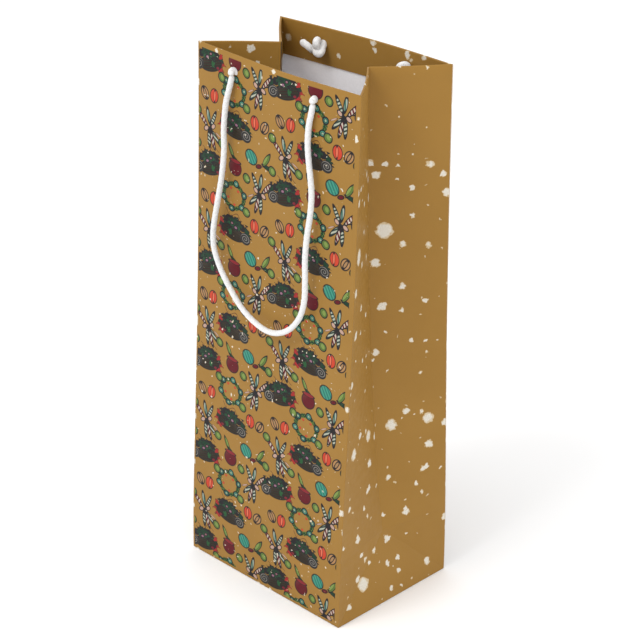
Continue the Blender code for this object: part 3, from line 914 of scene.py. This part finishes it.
for side, wall, body in ((-1, "front", "front_strip"), (1, "back", "back_wall")):
    strip_work = bmesh.new()
    bmesh.ops.create_grid(strip_work, x_segments=30, y_segments=8, size=0.5)
    strip_flat = strip_work.loops.layers.uv.new("sheet")
    strip_uv = {}
    for vert in strip_work.verts:
        t = vert.co.x + 0.5
        z = PAPER_FOOT + (STRIP_TOP - PAPER_FOOT) * (vert.co.y + 0.5)
        strip_uv[vert] = (FACE_MAP_WIDTH * (t if side < 0 else 1 - t), z)
        vert.co = face_point(side, 2 * t - 1, z)
    for face in strip_work.faces:
        face.smooth = True
        for loop in face.loops:
            loop[strip_flat].uv = strip_uv[loop.vert]
    strip = paper_piece(strip_work, wall + "_strip_paper", Vector((0, side, 0)), FACE_MATERIALS)
    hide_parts(wall + "_lower_panel")
    foot_y = side * HALF_GUSSET
    flattens(
        strip, (0, foot_y, HINGE_Z), (1, foot_y, HINGE_Z), (0, side * UPRIGHT_Y, STRIP_TOP),
        (0, side, 0),
    )
    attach(strip, body)


# ---- Knots of the handles ----------------------------------------------------------------
# Each rope end bends in through its hole, is tied in an overhand knot against the hem and
# ends in a short free tail.

KNOT_SPREAD = 0.0031
KNOT_FULLNESS = 1.22      # the tied rope is loosened, and thicker than where it hangs
KNOT_STEPS = 12
KNOT_DROP = 0.0022        # the heart of the knot lies this much below its hole
KNOT_BEHIND = 0.0064      # and this far inside the wall's outer surface
ROPE_STANDS_OFF = 0.0032  # from the hinged wall out to the line that a handle swings about
for side, wall in ((-1, "front"), (1, "back")):
    for sign, hand in ((-1, "left"), (1, "right")):
        hole = Vector((HOLE_MIDDLE_X + sign * HOLE_HALF_SPACING, 0.0, HOLE_Z))
        outer = OUTSIDE + ROPE_STANDS_OFF - drawn_in(side, hole.x, HOLE_Z) / 2
        across_wall = (hole.x - TWIST_X * rise(HOLE_Z)) / BOTTOM_HALF_WIDTH
        wall_y = abs(face_point(side, across_wall, HOLE_Z).y)
        start = hole + Vector((0.0, side * outer, -KNOT_DROP))
        points = [start, hole + Vector((0, side * (outer - 0.0004), -0.0008))]
        points.append(hole + Vector((0, side * (wall_y + 0.0006), 0.0)))
        heart = hole + Vector((0, side * (wall_y - KNOT_BEHIND), -KNOT_DROP))
        for k in range(KNOT_STEPS + 1):
            turn = math.pi * (0.35 + 1.45 * k / KNOT_STEPS)
            ring = Vector((
                -sign * (math.sin(turn) + 1.35 * math.sin(2 * turn)),
                side * 1.1 * math.sin(3 * turn),
                -(math.cos(turn) - 1.35 * math.cos(2 * turn)),
            ))
            points.append(heart + ring * KNOT_SPREAD * 0.62)
        tail = points[-1]
        points.append(tail + Vector((sign * 0.0034, side * -0.0006, 0.0016)))
        points.append(tail + Vector((sign * 0.0078, side * 0.0004, 0.0022)))
        line = smooth_line(points, ROPE_STEP)[0]
        knotted_end = laid_rope(f"{wall}_knotted_end_{hand}", line, ROPE_STEP, KNOT_FULLNESS)
        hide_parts(f"{wall}_knot_{hand}")
        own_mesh(knotted_end)
        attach(knotted_end, wall + "_wall")


# ---- Gussets -----------------------------------------------------------------------------
# The side walls are the same sheet, creased down the middle and pushed in.  Below, each is
# folded to a triangle that rises from the bottom's side edge, with a corner on both sides.

SHOULDER_Z = 0.0475
APEX_Z = 0.0466
FLAT_CREASE_X = 0.0404    # the middle crease of the hinged sheets
FLAT_APEX_Z = 0.040
GUSSET_MAP_EDGE = 0.20    # where the halves start on the flat sheet: the left front one here,
RIGHT_MAP_SHIFT = 0.14    # the right ones and the back ones this much further on
BACK_MAP_SHIFT = 0.05
for sign, hand in ((-1, "left"), (1, "right")):
    for side, half in ((-1, "front"), (1, "back")):
        def half_point(t, z, sign=sign, side=side):
            return gusset_point(sign, side, t, z)

        def half_outside(t, z, sign=sign, side=side):
            along = middle_crease_at(sign, z) - corner_at(sign, side, z)
            away = Vector((along.y, -along.x, 0.0)).normalized()
            return away if away.x * sign > 0 else -away

        near_edge = GUSSET_MAP_EDGE + RIGHT_MAP_SHIFT * (sign > 0) + BACK_MAP_SHIFT * (side > 0)
        half_paper, half_hem = folded_wall(
            f"{hand}_gusset_{half}", 14, lambda t: SHOULDER_Z + (APEX_Z - SHOULDER_Z) * t,
            -side * HALF_GUSSET, half_outside, half_point, near_edge, GUSSET_MATERIALS,
            (HEM_TUCK / HALF_GUSSET, -HEM_MEETS / HALF_GUSSET),
        )
        corner = (sign * BOTTOM_HALF_WIDTH, side * UPRIGHT_Y, STRIP_TOP)
        crease = (sign * FLAT_CREASE_X, 0.0, FLAT_APEX_Z)
        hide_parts(f"{hand}_gusset_{half}_half")
        for piece, deep in ((half_paper, 0.0), (half_hem, HEM_LAYER)):
            flattens(piece, corner, crease, (*corner[:2], MOUTH_Z), (sign, 0, 0), deep)
            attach(piece, f"{hand}_gusset_{half}")

        foot = Vector((sign * BOTTOM_HALF_WIDTH, side * HALF_GUSSET, PAPER_FOOT))
        corner_paper = flat_piece(
            f"{hand}_{half}_corner_paper",
            [foot, corner_at(sign, side, SHOULDER_Z), middle_crease_at(sign, APEX_Z)],
            (sign, 0, 0.1), 3, GUSSET_MATERIALS,
        )
        flattens(corner_paper, foot, corner, crease, (sign, 0, 0))
        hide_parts(f"{hand}_{half}_corner")
        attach(corner_paper, f"{hand}_corner_fold" if side < 0 else f"{hand}_gusset_back")
    feet = [Vector((sign * BOTTOM_HALF_WIDTH, y, PAPER_FOOT)) for y in (-HALF_GUSSET, HALF_GUSSET)]
    triangle = flat_piece(
        hand + "_base_triangle_paper", [*feet, middle_crease_at(sign, APEX_Z)], (sign, 0, 0.3), 5,
        GUSSET_MATERIALS,
    )
    hinge_line = [(sign * BOTTOM_HALF_WIDTH, y, HINGE_Z) for y in (-1, 1)]
    flattens(triangle, *hinge_line, crease, (sign, 0, 0))
    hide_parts(hand + "_base_triangle")
    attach(triangle, hand + "_base_fold")


# ---- Bottom ------------------------------------------------------------------------------
# Two side flaps, then two long flaps glued over them, make the bottom.  A loose white board
# lies on it inside.  Their edges are plain, so the modelled sheets stay as they are.

bottom_finish, tree, shader = finish_named("bottom_paper", 0.47)
place = object_place(tree)
colour = splashed(tree, place, ochre_ground(tree, place), GUSSET_SPLASHES)
tree.links.new(colour, shader.inputs["Base Color"])
laminated(tree, shader, place)

board_finish, tree, shader = finish_named("white_board", 0.8)
place = object_place(tree)
pulp = grain(tree, place, 800.0, 4.0)
board_white = mixed(tree, pulp, (0.70, 0.69, 0.67, 1), (0.80, 0.79, 0.77, 1))
tree.links.new(board_white, shader.inputs["Base Color"])
roughened(tree, shader, pulp, 0.3, 0.0002)

for node_name, finish in (
    ("bottom_flap_outer", bottom_finish), ("bottom_flap_inner", inside_finish),
    ("bottom_side_flap_left", inside_finish), ("bottom_side_flap_right", inside_finish),
    ("base_board", board_finish),
):
    node_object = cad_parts[node_name]
    node_object.data.materials.clear()
    node_object.data.materials.append(finish)
